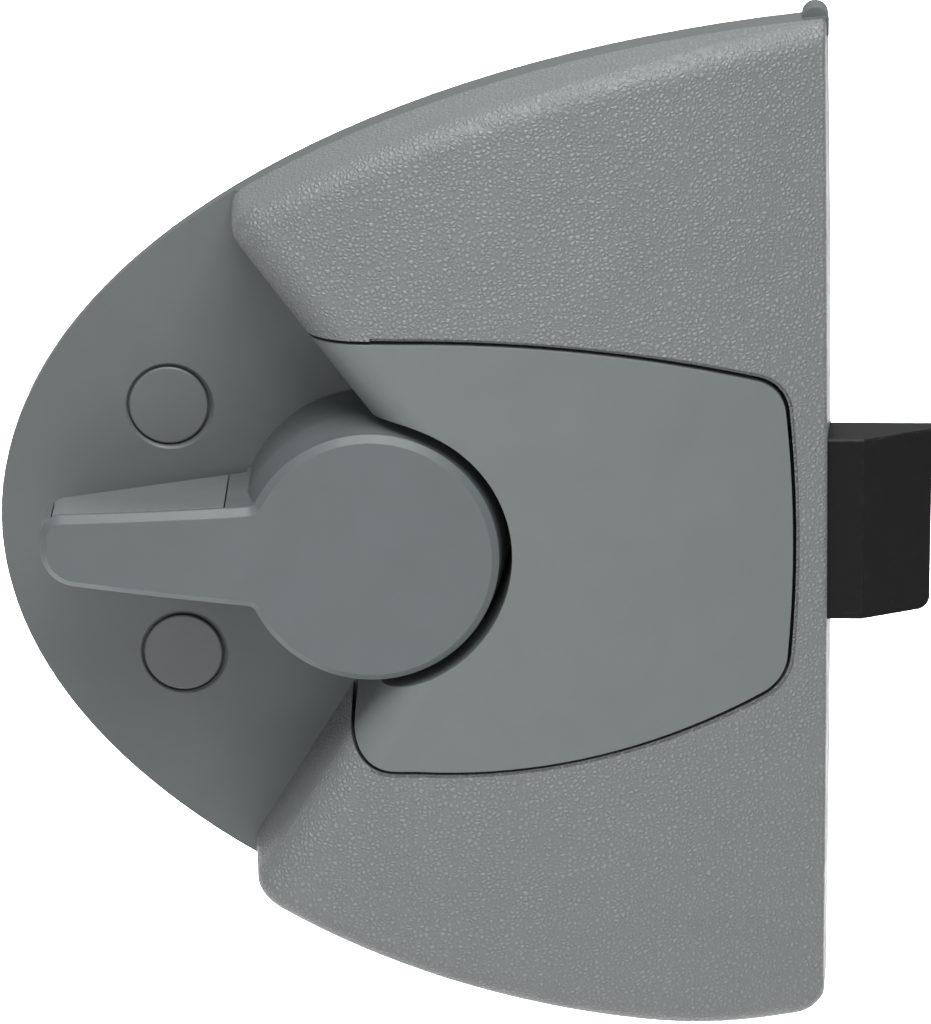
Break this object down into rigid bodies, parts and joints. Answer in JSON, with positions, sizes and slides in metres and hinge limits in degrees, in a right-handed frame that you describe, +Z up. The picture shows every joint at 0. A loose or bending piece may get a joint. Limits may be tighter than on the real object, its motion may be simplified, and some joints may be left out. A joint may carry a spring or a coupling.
{
  "type": "stair gate latch",
  "caption": "Surface-mounted stair gate latch: a turning lever with a grip arm draws back a bevelled spring bolt in a grained housing with a screw-capped flange.",
  "frame": {"origin": "the lever's axis on the flat mounting face at the back", "axes": "+X towards the bolt, +Z up as mounted, -Y out of the front; the mounting face is the plane Y = 0"},
  "size_m": [0.1559, 0.0298, 0.1754],
  "materials": {
    "base_plastic": "smooth moulded, satin",
    "cover_plastic": "leather-grained moulding",
    "panel_plastic": "leather-grained moulding",
    "lever_plastic": "fine satin moulding",
    "grip_plastic": "fine-grained inlay",
    "cap_plastic": "smooth moulded",
    "bolt_plastic": "black, semi-gloss, lightly rubbed",
    "case_plastic": "smooth",
    "tail_steel": "zinc plated",
    "plate_steel": "zinc plated",
    "crank_steel": "stamped",
    "shaft_steel": "ground",
    "spring_steel": "drawn wire",
    "screw_steel": "zinc plated",
    "bush_bronze": "sintered",
    "roller_plastic": "natural nylon",
    "bumper_rubber": "matt"
  },
  "bodies": {
    "housing": {"back_plate": "plate_steel", "base_moulding": "base_plastic", "textured_cover": "cover_plastic", "insert_panel": "panel_plastic", "panel_clips": "spring_steel", "spindle_bush_rear": "bush_bronze", "spindle_bush_front": "bush_bronze", "thrust_washer": "shaft_steel", "return_spring": "spring_steel", "spring_anchor": "shaft_steel", "stop_bumpers": "bumper_rubber", "bolt_case": "case_plastic", "case_screws": "screw_steel", "guide_rods": "shaft_steel", "bolt_spring_upper": "spring_steel", "bolt_spring_lower": "spring_steel", "cover_screws": "screw_steel", "plate_screws": "screw_steel", "upper_screw_cap": "cap_plastic", "lower_screw_cap": "cap_plastic"},
    "lever": {"lever_handle": "lever_plastic", "lever_grip_upper": "grip_plastic", "lever_grip_lower": "grip_plastic", "spindle": "shaft_steel", "retaining_ring": "spring_steel", "crank": "crank_steel", "crank_screws": "screw_steel", "crank_pin": "shaft_steel", "pin_roller": "roller_plastic"},
    "bolt": {"latch_bolt": "bolt_plastic", "bolt_tail": "tail_steel", "tail_rivets": "shaft_steel"}
  },
  "joints": [
    {"name": "lever_turn", "type": "hinge", "parent": "housing", "child": "lever", "pos_m": [0, -0.015, 0], "axis": [0, -1, 0], "range_deg": [0, 60], "stiffness_Nm_per_rad": 0.3, "springref_deg": -20.05, "deforming": ["return_spring"]},
    {"name": "bolt_slide", "type": "slide", "parent": "housing", "child": "bolt", "axis": [1, 0, 0], "range_m": [-0.0166, 0], "deforming": ["bolt_spring_upper", "bolt_spring_lower"]}
  ],
  "couplings": [
    {"joint": "bolt_slide", "follows": "lever_turn", "m_per_rad": -0.015756}
  ]
}
